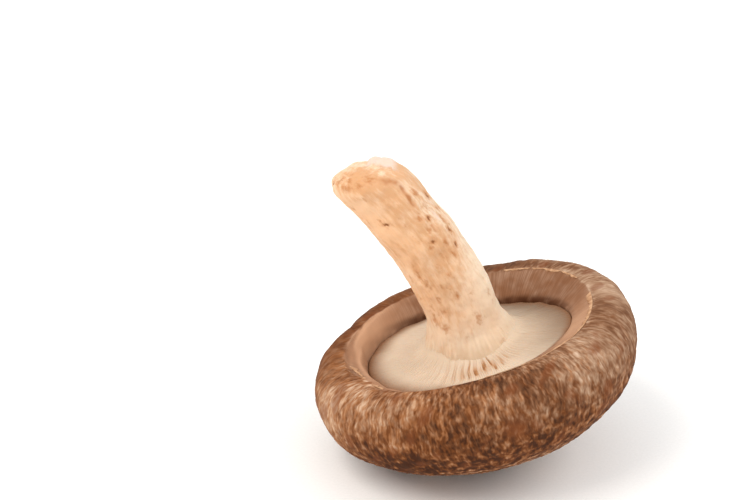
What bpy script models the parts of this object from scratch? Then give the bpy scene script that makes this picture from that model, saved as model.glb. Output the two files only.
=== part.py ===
"""A fresh shiitake mushroom, picked and lying on the crown of its cap with the stem up.

Three solids: the cap with its inrolled margin, the ring of gills under it, and the bent stem.
Run it with: blender --background --python part.py
"""

import math
import random

import bmesh
import bpy
from mathutils import Matrix, Vector

MM = 0.001

# Sizes are in millimetres, in the cap's own frame: the origin is on the cap's axis at the
# level of the gills' outer ends, +Z runs along the stem and +X is away from the stem's bend.
# A ring of the cap is its mean, then the cosine and the sine share of one wave round the cap
# (an offset), of two waves (an oval) and of three.
RIM_RADIUS = (35.4, 0.6, -0.5, -0.5, 1.1, -0.4, -0.7)
RIM_HEIGHT = (-1.4, -0.65, -0.3)
LIP_RADIUS = (26.3, 0.5, -1.4, 0.4, 1.2, -0.2, -0.25)
LIP_HEIGHT = (5.5, -0.7, -0.2, 0.1, -0.3, 0.0, 0.4)
WALL_FOOT_RADIUS = (21.3, -0.5, -0.4, 1.3, -0.5)
WALL_FOOT_HEIGHT = (1.3, 0.6, -0.7, 0.3, -0.7)

CROWN_DEPTH = 21.0          # from the gills' level to the crown, without the boss
CROWN_FULLNESS = (2.14, -0.16, -0.05)   # exponent of the flank's superellipse, as a ring
CROWN_SKEW = 0.10           # how much deeper the flank is on +X than at the centre, as a share
BOSS_HEIGHT = 3.2           # the low swelling in the middle of the crown
BOSS_CENTRE_X = 5.0
BOSS_SPREAD = 13.0
ROLL_SHARE = 0.22           # the roll's top, as a share of the way from the lip to the rim
ROLL_RISE = 0.3             # the roll's top above the lip
FLESH_FLOOR = -4.9          # the flesh that the gills grow from

STEM_RADIUS = 9.8           # of the foot, where the stem flares into the gills
STEM_ROOT = -7.6            # the socket in the flesh that the stem grows from
# Slices of the stem: height, centre along X, half-width along X, half-width along Y.
STEM_SLICES = (
    (2.0, 0.2, 9.8, 9.8),
    (5.0, 0.2, 8.8, 8.8),
    (10.0, 0.0, 8.0, 8.1),
    (16.0, -1.0, 8.2, 7.9),
    (23.0, -2.8, 7.9, 7.7),
    (30.0, -5.0, 8.0, 7.6),
    (36.0, -7.7, 8.3, 7.4),
    (40.5, -9.9, 8.1, 7.1),
    (43.0, -11.3, 7.4, 6.6),
    (44.9, -12.1, 5.8, 5.3),
)
STEM_END_HEIGHT = 45.6

GILL_PLATEAU = 1.9          # height of the gills' edges between the rim and the stem
GILL_COLLAR_RISE = 1.6      # the gills' inner ends climb the stem by this much
GILL_COLLAR_REACH = 2.0     # and fade out over this distance from it
GILL_DEPTH = 1.0            # height of a gill over the gap beside it
SHORT_GILL_START = 14.0     # radius at which the short gills begin

GAP = 0.3                   # between two solids that grow into each other
LEAN_LEFT = 14.9            # degrees from upright, towards -X, as it lies
REST_RADIUS = 6.0           # of the flat spot that the crown rests on
REST_CENTRE_X = 0.9         # the flat spot's centre, measured along the floor from the origin

TUFT_RELIEF = 0.35          # height of the fibrous scales on the cap
TUFT_ROWS = 3               # length of one scale, in rows of the mesh
RIB_RELIEF = 0.12           # height of the fibres that run along the stem

CAP_COLUMNS = 112
FLANK_ROWS = 13
ROLL_ROWS = 5
LIP_ROWS = 2
GILL_COUNT = 112            # every second one is short
STEM_COLUMNS = 40
STEM_ROWS = 18

SEED = 11


def ring(shape, phi):
    """Value of one of the cap's rings in direction phi."""
    value = shape[0]
    for index, share in enumerate(shape[1:]):
        angle = (index // 2 + 1) * phi
        value += share * (math.cos(angle) if index % 2 == 0 else math.sin(angle))
    return value


def smooth_step(low, high, value):
    share = min(1.0, max(0.0, (value - low) / (high - low)))
    return share * share * (3 - 2 * share)


def polar(radius, phi, height):
    return Vector((radius * math.cos(phi), radius * math.sin(phi), height))


def boss(x, y):
    """Extra depth of the crown at this place."""
    square = (x - BOSS_CENTRE_X) ** 2 + y ** 2
    return BOSS_HEIGHT * math.exp(-square / (2 * BOSS_SPREAD ** 2))


def flank(phi):
    """Outer skin from beside the crown's centre to the rim, as (radius, height) points."""
    rim = ring(RIM_RADIUS, phi)
    rim_height = ring(RIM_HEIGHT, phi)
    power = 2 / ring(CROWN_FULLNESS, phi)
    points = []
    for row in range(1, FLANK_ROWS + 1):
        angle = math.pi / 2 * (1 - row / FLANK_ROWS)
        radius = rim * math.cos(angle) ** power
        skew = 1 + CROWN_SKEW * math.cos(phi) * radius / RIM_RADIUS[0]
        drop = (CROWN_DEPTH + rim_height) * math.sin(angle) ** power * skew
        drop += boss(radius * math.cos(phi), radius * math.sin(phi)) * math.sin(angle) ** 2
        points.append((radius, rim_height - drop))
    return points


def roll(phi):
    """The inrolled margin, from the rim over its top to the lip."""
    rim = ring(RIM_RADIUS, phi)
    rim_height = ring(RIM_HEIGHT, phi)
    lip = ring(LIP_RADIUS, phi)
    lip_height = ring(LIP_HEIGHT, phi)
    top = lip + ROLL_SHARE * (rim - lip)
    top_height = lip_height + ROLL_RISE
    points = []
    for row in range(1, ROLL_ROWS + 1):
        angle = math.pi / 2 * row / ROLL_ROWS
        points.append((
            top + (rim - top) * math.cos(angle),
            rim_height + (top_height - rim_height) * math.sin(angle),
        ))
    for row in range(1, LIP_ROWS + 1):
        angle = math.pi / 2 * row / LIP_ROWS
        points.append((
            top - (top - lip) * math.sin(angle),
            lip_height + ROLL_RISE * math.cos(angle),
        ))
    return points


def hollow(phi):
    """Inner face of the margin, then the flesh under the gills and the stem's socket."""
    lip = ring(LIP_RADIUS, phi)
    lip_height = ring(LIP_HEIGHT, phi)
    foot = ring(WALL_FOOT_RADIUS, phi)
    foot_height = ring(WALL_FOOT_HEIGHT, phi)
    socket = STEM_RADIUS + GAP
    points = []
    for share in (0.35, 0.7, 1.0):
        points.append((
            lip + (foot - lip) * share,
            lip_height + (foot_height - lip_height) * share ** 1.2,
        ))
    points += [
        (foot, FLESH_FLOOR + 1.9),
        (foot - 1.5, FLESH_FLOOR),
        ((foot + socket) / 2, FLESH_FLOOR),
        (socket, FLESH_FLOOR),
        (socket, STEM_ROOT),
    ]
    return points


def loft(columns, first_pole=None, last_pole=None):
    """A solid from columns of points that stand round an axis. Without poles each column is
    a closed loop; with them it runs from one pole to the other."""
    bm = bmesh.new()
    grid = [[bm.verts.new(point * MM) for point in column] for column in columns]
    poles = [bm.verts.new(pole * MM) for pole in (first_pole, last_pole) if pole is not None]
    rows = len(grid[0])
    last = rows if not poles else rows - 1
    for index, column in enumerate(grid):
        following = grid[(index + 1) % len(grid)]
        for row in range(last):
            above = (row + 1) % rows
            bm.faces.new((column[row], following[row], following[above], column[above]))
        if poles:
            bm.faces.new((poles[0], following[0], column[0]))
            bm.faces.new((poles[1], column[-1], following[-1]))
    bmesh.ops.recalc_face_normals(bm, faces=bm.faces)
    return bm


def finished(name, bm, material, parent):
    """Turns bm into a smooth-shaded object that stands on parent."""
    mesh = bpy.data.meshes.new(name)
    bm.to_mesh(mesh)
    bm.free()
    mesh.shade_smooth()
    mesh.set_sharp_from_angle(angle=math.radians(50))
    mesh.materials.append(material)
    obj = bpy.data.objects.new(name, mesh)
    bpy.context.scene.collection.objects.link(obj)
    obj.parent = parent
    return obj


def surface(name, colour, roughness):
    material = bpy.data.materials.new(name)
    material.use_nodes = True
    shader = material.node_tree.nodes["Principled BSDF"]
    shader.inputs["Base Color"].default_value = (*colour, 1.0)
    shader.inputs["Roughness"].default_value = roughness
    shader.inputs["Metallic"].default_value = 0.0
    return material


def cap_solid():
    """The cap: skin with lifted fibrous scales, inrolled margin and the flesh inside it."""
    draw = random.Random(SEED)
    columns = []
    for index in range(CAP_COLUMNS):
        phi = 2 * math.pi * index / CAP_COLUMNS
        offset = draw.random() * TUFT_ROWS
        skin = flank(phi) + roll(phi)
        column = []
        for row, (radius, height) in enumerate(skin):
            lift = TUFT_RELIEF * ((row + offset) % TUFT_ROWS) / TUFT_ROWS
            fade = smooth_step(0, 3, row) * smooth_step(len(skin) - 1, len(skin) - 4, row)
            outward = Vector((radius / RIM_RADIUS[0], height / CROWN_DEPTH)).normalized()
            radius += outward.x * lift * fade
            height += outward.y * lift * fade
            column.append(polar(radius, phi, height))
        column += [polar(radius, phi, height) for radius, height in hollow(phi)]
        columns.append(column)
    return loft(columns, Vector((0, 0, -CROWN_DEPTH - boss(0, 0))), Vector((0, 0, STEM_ROOT)))


def gill_edge(radius, inner, outer, outer_height):
    """Height of a full gill's edge at this radius."""
    plateau = GILL_PLATEAU + (outer_height - GILL_PLATEAU) * smooth_step(inner, outer, radius)
    collar = GILL_COLLAR_RISE * math.exp((inner - radius) / GILL_COLLAR_REACH)
    return plateau + collar


def gill_solid():
    """Blades that radiate from the stem, full and short ones in turn, on a shared base."""
    inner = STEM_RADIUS + GAP
    columns = []
    for index in range(2 * GILL_COUNT):
        phi = math.pi * index / GILL_COUNT
        outer = ring(WALL_FOOT_RADIUS, phi) - GAP
        outer_height = ring(WALL_FOOT_HEIGHT, phi) - GAP
        is_gap = index % 2 == 1
        is_short = index % 4 == 2
        column = []
        for share in (1.0, 0.87, 0.7, 0.52, 0.36, 0.22, 0.1, 0.0):
            radius = inner + (outer - inner) * share
            height = gill_edge(radius, inner, outer, outer_height)
            depth = GILL_DEPTH * smooth_step(inner - 1, inner + 3, radius)
            if is_gap:
                height -= depth
            if is_short:
                height -= depth * (1 - smooth_step(SHORT_GILL_START - 2, SHORT_GILL_START, radius))
            column.append(polar(radius, phi, height))
        column += [
            polar(inner, phi, FLESH_FLOOR + GAP),
            polar(outer - 1.5, phi, FLESH_FLOOR + GAP),
            polar(outer, phi, FLESH_FLOOR + 1.9 + GAP),
        ]
        columns.append(column)
    return loft(columns)


def stem_slice(height):
    """Centre and half-widths of the stem at this height, along a smooth curve through the
    slices."""
    last = len(STEM_SLICES) - 1
    for index in range(last):
        if height <= STEM_SLICES[index + 1][0] or index == last - 1:
            break
    here, following = STEM_SLICES[index], STEM_SLICES[index + 1]
    before = STEM_SLICES[max(0, index - 1)]
    after = STEM_SLICES[min(last, index + 2)]
    span = following[0] - here[0]
    share = (height - here[0]) / span
    values = []
    for axis in (1, 2, 3):
        slope_in = (following[axis] - before[axis]) / (following[0] - before[0]) * span
        slope_out = (after[axis] - here[axis]) / (after[0] - here[0]) * span
        values.append(
            (2 * share ** 3 - 3 * share ** 2 + 1) * here[axis]
            + (share ** 3 - 2 * share ** 2 + share) * slope_in
            + (3 * share ** 2 - 2 * share ** 3) * following[axis]
            + (share ** 3 - share ** 2) * slope_out
        )
    return values


def stem_solid():
    """The stem: straight where it leaves the cap, then bent, with a blunt butt."""
    draw = random.Random(SEED)
    phases = [draw.uniform(0, 2 * math.pi) for _ in range(4)]
    first, top = STEM_SLICES[0][0], STEM_SLICES[-1][0]
    heights = [STEM_ROOT + GAP, -2.0]
    heights += [first + (top - first) * row / STEM_ROWS for row in range(STEM_ROWS + 1)]
    columns = []
    for index in range(STEM_COLUMNS):
        psi = 2 * math.pi * index / STEM_COLUMNS
        column = []
        for height in heights:
            centre, half_x, half_y = stem_slice(max(first, height))
            if height < first:
                centre, half_x, half_y = 0.0, STEM_RADIUS, STEM_RADIUS
            fade = smooth_step(first + 3, first + 9, height) * smooth_step(top, top - 6, height)
            ribs = sum(
                math.sin((4 + 3 * n) * psi + phase + height * 0.04 * (n - 1.5))
                for n, phase in enumerate(phases)
            )
            scale = 1 + RIB_RELIEF * ribs * fade / STEM_RADIUS
            column.append(Vector((
                centre + half_x * scale * math.cos(psi),
                half_y * scale * math.sin(psi),
                height,
            )))
        columns.append(column)
    top_centre = stem_slice(top)[0]
    return loft(columns, Vector((0, 0, heights[0])), Vector((top_centre, 0, STEM_END_HEIGHT)))


def cut_flat(bm, placed):
    """Takes off what lies below the floor, which leaves the flat spot that the crown rests on."""
    to_local = placed.inverted()
    normal = (to_local.to_3x3() @ Vector((0, 0, 1))).normalized()
    everything = list(bm.verts) + list(bm.edges) + list(bm.faces)
    cut = bmesh.ops.bisect_plane(
        bm,
        geom=everything,
        dist=1e-7,
        plane_co=to_local @ Vector((0, 0, 0)),
        plane_no=normal,
        clear_inner=True,
    )
    edges = [item for item in cut["geom_cut"] if isinstance(item, bmesh.types.BMEdge)]
    bmesh.ops.edgenet_fill(bm, edges=edges)
    bmesh.ops.recalc_face_normals(bm, faces=bm.faces)


def lying_matrix(bm):
    """Leans the cap over, then sets it down so that the floor cuts off the flat spot."""
    lean = Matrix.Rotation(math.radians(-LEAN_LEFT), 4, "Y")
    centre = Vector((REST_CENTRE_X * MM, 0))
    heights = []
    for vert in bm.verts:
        point = lean @ vert.co
        on_skin = vert.co.z < (STEM_ROOT - 2) * MM
        if on_skin and abs((point.xy - centre).length - REST_RADIUS * MM) < 1.5 * MM:
            heights.append(point.z)
    floor = sum(heights) / len(heights)
    return Matrix.Translation((-centre.x, -centre.y, -floor)) @ lean


def build():
    for obj in list(bpy.data.objects):
        bpy.data.objects.remove(obj, do_unlink=True)

    cap = cap_solid()
    placed = lying_matrix(cap)
    cut_flat(cap, placed)

    axis = bpy.data.objects.new("cap_axis", None)
    axis.matrix_world = placed
    bpy.context.scene.collection.objects.link(axis)

    skin = surface("cap_skin", (0.27, 0.13, 0.065), 0.75)
    gill_flesh = surface("gill_flesh", (0.72, 0.56, 0.40), 0.7)
    stem_skin = surface("stem_skin", (0.76, 0.50, 0.30), 0.7)
    finished("cap", cap, skin, axis)
    finished("gills", gill_solid(), gill_flesh, axis)
    finished("stem", stem_solid(), stem_skin, axis)


build()
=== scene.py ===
# %% [markdown]
# # A fresh shiitake mushroom, lying on the crown of its cap
#
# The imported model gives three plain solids: the cap, the gills and the stem. This script dresses
# them. Each is replaced by a finer skin of the same form, with the fibrous scales, the thin gills
# and the mottled stem that a real mushroom shows. The model is loaded first and isn't moved.

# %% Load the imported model
import math

import bpy
import numpy as np
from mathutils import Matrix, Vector


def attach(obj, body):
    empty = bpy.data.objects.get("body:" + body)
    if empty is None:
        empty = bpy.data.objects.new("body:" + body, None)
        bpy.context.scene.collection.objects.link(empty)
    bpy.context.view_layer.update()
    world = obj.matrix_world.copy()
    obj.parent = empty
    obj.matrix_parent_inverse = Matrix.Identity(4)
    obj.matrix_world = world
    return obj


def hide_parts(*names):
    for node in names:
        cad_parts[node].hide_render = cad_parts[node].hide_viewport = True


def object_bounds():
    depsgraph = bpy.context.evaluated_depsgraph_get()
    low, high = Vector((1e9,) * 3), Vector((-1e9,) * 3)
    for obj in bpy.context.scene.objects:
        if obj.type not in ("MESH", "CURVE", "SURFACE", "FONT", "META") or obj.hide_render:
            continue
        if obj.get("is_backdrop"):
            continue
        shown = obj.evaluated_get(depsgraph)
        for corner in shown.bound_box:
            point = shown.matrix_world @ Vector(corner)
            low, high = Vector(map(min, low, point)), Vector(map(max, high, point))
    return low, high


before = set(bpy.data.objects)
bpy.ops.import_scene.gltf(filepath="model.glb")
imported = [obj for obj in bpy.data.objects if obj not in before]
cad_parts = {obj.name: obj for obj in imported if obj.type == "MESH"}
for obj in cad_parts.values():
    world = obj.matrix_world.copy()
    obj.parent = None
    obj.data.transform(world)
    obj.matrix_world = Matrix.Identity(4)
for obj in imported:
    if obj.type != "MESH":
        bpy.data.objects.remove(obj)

cad_low, cad_high = [list(corner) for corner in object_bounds()]
print("solids:", sorted(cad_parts))
print("size in mm:", [round((high - low) * 1000, 1) for low, high in zip(cad_low, cad_high)])

# %% [markdown]
# ## The cap's own frame
#
# A mushroom is easiest to describe along its own axis: heights along the stem, radii from it.
# The whole thing then leans to the left by 15 degrees, because it lies on a round crown. Points
# are worked out in millimetres in the upright frame, and one function lays them down in the
# scene. A parent empty could do this too, but then the meshes wouldn't be in scene coordinates.

# %% From the cap's frame to the scene
MM = 0.001
CAP_ORIGIN_MM = np.array([-0.9, 0.0, 23.074])   # on the cap's axis, level with the gills
LEAN = math.radians(14.9)


def lay_down(points):
    """Turns points in the cap's frame (millimetres) into points of the scene (metres)."""
    x, y, z = points[..., 0], points[..., 1], points[..., 2]
    leaning = np.stack([
        math.cos(LEAN) * x - math.sin(LEAN) * z,
        y,
        math.sin(LEAN) * x + math.cos(LEAN) * z,
    ], axis=-1)
    return (leaning + CAP_ORIGIN_MM) * MM


print("the cap's origin is", round(CAP_ORIGIN_MM[2], 1), "mm above the surface it lies on")

# %% [markdown]
# ## Camera
#
# The camera comes early, because it says how fine the rest has to be. A 100 mm lens from 45 cm
# keeps the proportions natural for food photography. It looks down by 24 degrees, which shows
# the gills as a slim oval. The mushroom sits right of the middle and low, as it was framed.

# %% Camera
ELEVATION = math.radians(24.0)
LENS_MM = 100.0
SENSOR_MM = 36.0
DISTANCE = 0.446
IMAGE_WIDTH, IMAGE_HEIGHT = 750, 500
ORIGIN_PIXEL = (472.7, 347.2)       # where the cap's origin is seen

camera_data = bpy.data.cameras.new("camera")
camera_data.lens = LENS_MM
camera_data.sensor_width = SENSOR_MM
camera_data.clip_start = 0.01
camera = bpy.data.objects.new("camera", camera_data)
bpy.context.scene.collection.objects.link(camera)
bpy.context.scene.camera = camera

right = Vector((1, 0, 0))
up = Vector((0, math.sin(ELEVATION), math.cos(ELEVATION)))
back = Vector((0, -math.cos(ELEVATION), math.sin(ELEVATION)))
focal_pixels = IMAGE_WIDTH * LENS_MM / SENSOR_MM
offset_right = (ORIGIN_PIXEL[0] - IMAGE_WIDTH / 2) / focal_pixels * DISTANCE
offset_up = (IMAGE_HEIGHT / 2 - ORIGIN_PIXEL[1]) / focal_pixels * DISTANCE
origin = Vector(CAP_ORIGIN_MM) * MM
camera.location = origin - right * offset_right - up * offset_up + back * DISTANCE
camera.rotation_euler = (math.pi / 2 - ELEVATION, 0, 0)
pixel_mm = DISTANCE / focal_pixels * 1000
print("one pixel is", round(pixel_mm, 2), "mm on the mushroom")

# %% [markdown]
# ## Small tools
#
# Rings that aren't quite round are sums of a few waves round the axis. A fade turns one thing
# into another, and a bell keeps a thing to its place. A sum of random sine waves gives soft
# unevenness. Its draw is seeded, so that each run gives the same mushroom.

# %% Rings, fades and unevenness
def ring(shape, phi):
    """A ring's value in direction phi: its mean, then cosine and sine shares of 1, 2, 3 waves."""
    value = np.full_like(phi, shape[0], dtype=float)
    for index, share in enumerate(shape[1:]):
        angle = (index // 2 + 1) * phi
        value += share * (np.cos(angle) if index % 2 == 0 else np.sin(angle))
    return value


def round_axis(phi, radius, height):
    """Points at these directions, radii and heights round the upright axis."""
    return np.stack([radius * np.cos(phi), radius * np.sin(phi), height], axis=-1)


def turned(angles, degrees):
    """How far angles (in radians) lie from a direction in degrees, the shorter way round."""
    return (angles - math.radians(degrees) + math.pi) % (2 * math.pi) - math.pi


def fade(start, full, value):
    """Goes smoothly from 0 to 1 as the value runs from start to full, upwards or downwards."""
    share = np.clip((value - start) / (full - start), 0.0, 1.0)
    return share * share * (3 - 2 * share)


def bell(offset, width):
    """1 where the offset is 0, falling away on both sides over about the width."""
    return np.exp(-(offset / width) ** 2)


def unevenness(points, wavelength, seed, waves=14):
    """Soft random relief, about -1 to 1, with bumps about half a wavelength across."""
    draw = np.random.default_rng(seed)
    total = np.zeros(points.shape[:-1])
    for _ in range(waves):
        direction = draw.normal(size=3)
        direction /= np.linalg.norm(direction)
        turns = draw.uniform(0.6, 1.6) / wavelength
        total += np.sin(2 * math.pi * (points @ direction * turns + draw.random()))
    return total / math.sqrt(waves)


print("a bell of width 2 at 0, 1, 2, 3:", bell(np.arange(4), 2.0).round(2))

# %% [markdown]
# Each skin is a grid of points that closes on itself round the axis. A grid made in code is the
# right tool here, because both the relief and the colours follow directions on the mushroom:
# down the flank, or along the stem. Values such as "this point is on a fibre" are kept on the
# mesh as attributes, and the materials read them.

# %% Turn a grid of points into an object
def made(name, vertices, faces, material):
    """An object of these vertices (in metres, in the scene) and faces, with its material."""
    mesh = bpy.data.meshes.new(name)
    mesh.from_pydata(vertices, [], faces)
    mesh.materials.append(material)
    obj = bpy.data.objects.new(name, mesh)
    bpy.context.scene.collection.objects.link(obj)
    return obj


def grown(name, points, values, material, solid):
    """An object from points[column, row], closed round the axis and at both ends."""
    columns, rows = points.shape[:2]
    index = np.arange(columns * rows).reshape(columns, rows)
    here, beside = index[:, :-1], np.roll(index, -1, axis=0)[:, :-1]
    above, beside_above = index[:, 1:], np.roll(index, -1, axis=0)[:, 1:]
    quads = np.stack([here, beside, beside_above, above], axis=-1).reshape(-1, 4)
    faces = quads.tolist()
    faces.append(index[::-1, 0].tolist())
    faces.append(index[:, -1].tolist())
    obj = made(name, lay_down(points).reshape(-1, 3).tolist(), faces, material)
    for value_name, grid in values.items():
        attribute = obj.data.attributes.new(value_name, "FLOAT", "POINT")
        attribute.data.foreach_set("value", grid.astype(np.float32).ravel())
    obj.data.shade_smooth()
    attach(obj, "root")
    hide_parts(solid)
    print(name, "has", 2 * len(quads), "triangles")
    return obj


# %% [markdown]
# ## Materials: shared helpers
#
# Every material is a node tree on a Principled BSDF. Colours are the hex values that a colour
# picker shows, turned into the linear values that the renderer counts in. What is the same all
# over is set on the shader's own socket. What changes is a chain of nodes, in which each
# pattern gives the share by which one more colour is laid over the last.

# %% Node and colour helpers
COLOURS = {"data_type": "RGBA"}                     # settings that come back often
SMOOTH = {"interpolation_type": "SMOOTHSTEP"}
MULTIPLY, MULTIPLY_ADD = {"operation": "MULTIPLY"}, {"operation": "MULTIPLY_ADD"}


def linear(hex_colour):
    """sRGB hex such as "C9A585" to linear RGBA."""
    channels = [int(hex_colour[start:start + 2], 16) / 255 for start in (0, 2, 4)]
    return [c / 12.92 if c <= 0.04045 else ((c + 0.055) / 1.055) ** 2.4 for c in channels] + [1.0]


def add(tree, kind, settings=None, out=None, **sockets):
    """Adds a node and gives its output, the first or the named one. Each socket is given by
    name, or as i0, i1 and so on, and takes a value or another node's output."""
    node = tree.nodes.new("ShaderNode" + kind)
    for name, value in (settings or {}).items():
        setattr(node, name, value)
    for name, value in sockets.items():
        socket = next(
            (s for s in node.inputs if s.name.lower() == name.lower() and s.enabled), None
        ) or node.inputs[int(name[1:])]
        if isinstance(value, bpy.types.NodeSocket):
            tree.links.new(value, socket)
        else:
            socket.default_value = value
    return node.outputs[out] if out else next(s for s in node.outputs if s.enabled)


def blank(name, **uniform):
    """A material with its node tree and Principled BSDF, and what is the same all over it."""
    material = bpy.data.materials.new(name)
    material.use_nodes = True
    shader = material.node_tree.nodes["Principled BSDF"]
    for socket, value in uniform.items():
        shader.inputs[socket.replace("_", " ")].default_value = value
    return material, material.node_tree, shader


def coat(tree, shader, colour, relief, depth_mm):
    """Gives a material its colour, and fine relief that is too small for the mesh."""
    bump = add(tree, "Bump", Strength=1.0, Distance=depth_mm * MM, Height=relief)
    tree.links.new(colour, shader.inputs["Base Color"])
    tree.links.new(bump, shader.inputs["Normal"])


def grain(tree, size_mm, stretch=(1, 1, 1), detail=3.0, where=None):
    """Noise with features of about size_mm, in scene space, as a 0 to 1 value."""
    where = where or add(tree, "TexCoord", out="Object")
    scaled = add(tree, "Mapping", i0=where, i3=[s / (size_mm * MM) for s in stretch])
    return add(tree, "TexNoise", Vector=scaled, Scale=1.0, Detail=detail, Roughness=0.6)


def wavy(tree, where, size_mm, reach_mm):
    """Coordinates pushed about by noise, so that a straight pattern wanders."""
    scaled = add(tree, "Mapping", i0=where, i3=[1 / (size_mm * MM)] * 3)
    noise = add(tree, "TexNoise", out="Color", Vector=scaled, Scale=1.0, Detail=2.0)
    return add(tree, "VectorMath", MULTIPLY_ADD, i0=noise, i1=[2 * reach_mm * MM] * 3, i2=where)


def tufted(tree, where, width_mm, length_mm):
    """Long cells that lie side by side: high in the middle of some, and low in between."""
    scale = [1 / (width_mm * MM), 1 / (width_mm * MM), 1 / (length_mm * MM)]
    scaled = add(tree, "Mapping", i0=where, i3=scale)
    centre_distance = add(tree, "TexVoronoi", Vector=scaled, Scale=1.0)
    chance = centre_distance.node.outputs["Color"]
    share = add(tree, "MapRange", SMOOTH, i0=chance, i1=0.25, i2=0.75)
    middle = add(tree, "MapRange", SMOOTH, i0=centre_distance, i1=0.1, i2=0.75, i3=1.0, i4=0.0)
    return add(tree, "Math", MULTIPLY, i0=share, i1=middle)


print("hex C9A585 is", [round(c, 3) for c in linear("C9A585")[:3]], "in linear light")

# %% [markdown]
# ## Cap skin: a dry, torn cuticle
#
# The cap of a shiitake is covered by a brown cuticle. As the cap grows, the cuticle tears into
# fibres that lie down the flank, and paler flesh shows between them. It is dry and scatters
# light broadly, so it is rough. Chitin, which fungi are made of, has an index of refraction
# near 1.5.
#
# Real fibres are 0.1 to 0.3 mm wide, and a pixel of the picture is 0.2 mm, so they are too fine
# to show. The hairs, flecks and streaks are drawn 0.45 to 1 mm wide. They follow two values on
# the mesh, how far round the cap and how far down its flank a point is. Lower down they give
# way to blotches. The band inside the margin was never torn, and shows only faint rays.

# %% Cap skin material
WISP_MM = (1.0, 2.9)        # width and length of the soft streaks
HAIR_MM = (0.45, 1.8)
FLECK_MM = (0.6, 1.9)
BLOTCH_MM = 1.5             # lower down the flank there are blotches instead of streaks
SPECK_MM = 0.6              # and specks instead of hairs
RAY_MM = (0.42, 7.0)
SKIN_TONES = (              # from dark to pale, first the warm skin and then the greyish one
    ("40200C", "6A3B1A", "96633E", "BD9777", "D2B59C"),
    ("4C2E1B", "754E34", "A07F65", "C3A68F", "D8C2AE"),
)

cuticle, tree, shader = blank(
    "torn_mushroom_cuticle", Roughness=0.85, IOR=1.5, Specular_IOR_Level=0.15)
on_mesh = {
    name: add(tree, "Attribute", {"attribute_name": name}, out="Fac")
    for name in ("round_x", "round_y", "run", "blotchy", "rough", "pale", "grey", "red",
                 "ridge", "deep", "band")
}
straight = add(tree, "CombineXYZ", X=on_mesh["round_x"], Y=on_mesh["round_y"], Z=on_mesh["run"])
flank = wavy(tree, straight, 4.0, 1.0)
wisp = grain(tree, WISP_MM[0], (1, 1, WISP_MM[0] / WISP_MM[1]), 2.0, flank)
hair = grain(tree, HAIR_MM[0], (1, 1, HAIR_MM[0] / HAIR_MM[1]), 0.0, flank)
fleck = tufted(tree, flank, *FLECK_MM)
wisp, hair = [
    add(tree, "Mix", COLOURS, i0=on_mesh["blotchy"], i6=streaks, i7=spots)
    for streaks, spots in (
        (wisp, grain(tree, BLOTCH_MM, detail=1.0)), (hair, grain(tree, SPECK_MM, detail=0.0)))
]

change = -0.665             # less the mean of the patterns, so that they change tones both ways
for pattern, share in ((fleck, 0.14), (hair, 0.25), (wisp, 1.0)):
    change = add(tree, "Math", MULTIPLY_ADD, i0=pattern, i1=share, i2=change)
level = add(tree, "Math", MULTIPLY_ADD, i0=change, i1=on_mesh["rough"], i2=on_mesh["pale"])
skins = []
for hex_tones in SKIN_TONES:
    skins.append(add(tree, "ValToRGB", Fac=level))
    stops = skins[-1].node.color_ramp.elements
    for index, tone in enumerate(hex_tones):
        place = index / (len(hex_tones) - 1)
        stop = stops[index] if index < 2 else stops.new(place)
        stop.position, stop.color = place, linear(tone)
drift = grain(tree, 1.1, (1, 1, 0.6), 2.0, flank)
tint = add(tree, "Math", MULTIPLY_ADD, i0=drift, i1=2.0, i2=on_mesh["grey"])
tint = add(tree, "MapRange", SMOOTH, i0=tint, i1=0.8, i2=1.8)
skin = add(tree, "Mix", COLOURS, i0=tint, i6=skins[0], i7=skins[1])
skin = add(tree, "Mix", COLOURS, i0=on_mesh["red"], i6=skin, i7=linear("743F20"))
print("cap skin tones, dark to pale:", " ".join(SKIN_TONES[0]))

# %% The inner band's colour, and the cap skin's relief
soft = grain(tree, 5.0, detail=2.0)
soft = add(tree, "MapRange", SMOOTH, i0=soft, i1=0.35, i2=0.65)
rays = grain(tree, RAY_MM[0], (1, 1, RAY_MM[0] / RAY_MM[1]), 2.0, straight)
rays = add(tree, "MapRange", SMOOTH, i0=rays, i1=0.38, i2=0.62, i4=0.5)
# the ridge colour is a painted highlight, and the darkest colour is painted shade at the foot
band = linear("8A5F43")
for share, colour in (
    (soft, "9C7860"), (rays, "71482E"), (on_mesh["ridge"], "CBA080"), (on_mesh["deep"], "48240C"),
):
    band = add(tree, "Mix", COLOURS, i0=share, i6=band, i7=linear(colour))
surface = add(tree, "Mix", COLOURS, i0=on_mesh["band"], i6=skin, i7=band)

relief = wisp
for pattern, share in ((hair, 0.7), (fleck, 0.4)):
    relief = add(tree, "Math", MULTIPLY_ADD, i0=pattern, i1=share, i2=relief)
smoother = add(tree, "MapRange", SMOOTH, i0=on_mesh["band"], i3=1.0, i4=0.15)
relief = add(tree, "Math", MULTIPLY, i0=relief, i1=smoother)
coat(tree, shader, surface, relief, 0.035)
print("the cap skin has", len(tree.nodes), "nodes")

# %% [markdown]
# ## Cap: one skin from the crown over the margin to the gills
#
# The cap's section is a flank, close to a quarter of an oval, that rises from the crown to the
# rim. There the margin rolls in, over its top and down to a lip, and a smooth inner band leads
# to the gills. The flank could be sculpted, but a section that is swept round the axis with a
# few waves in it keeps each of these forms under control.

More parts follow.
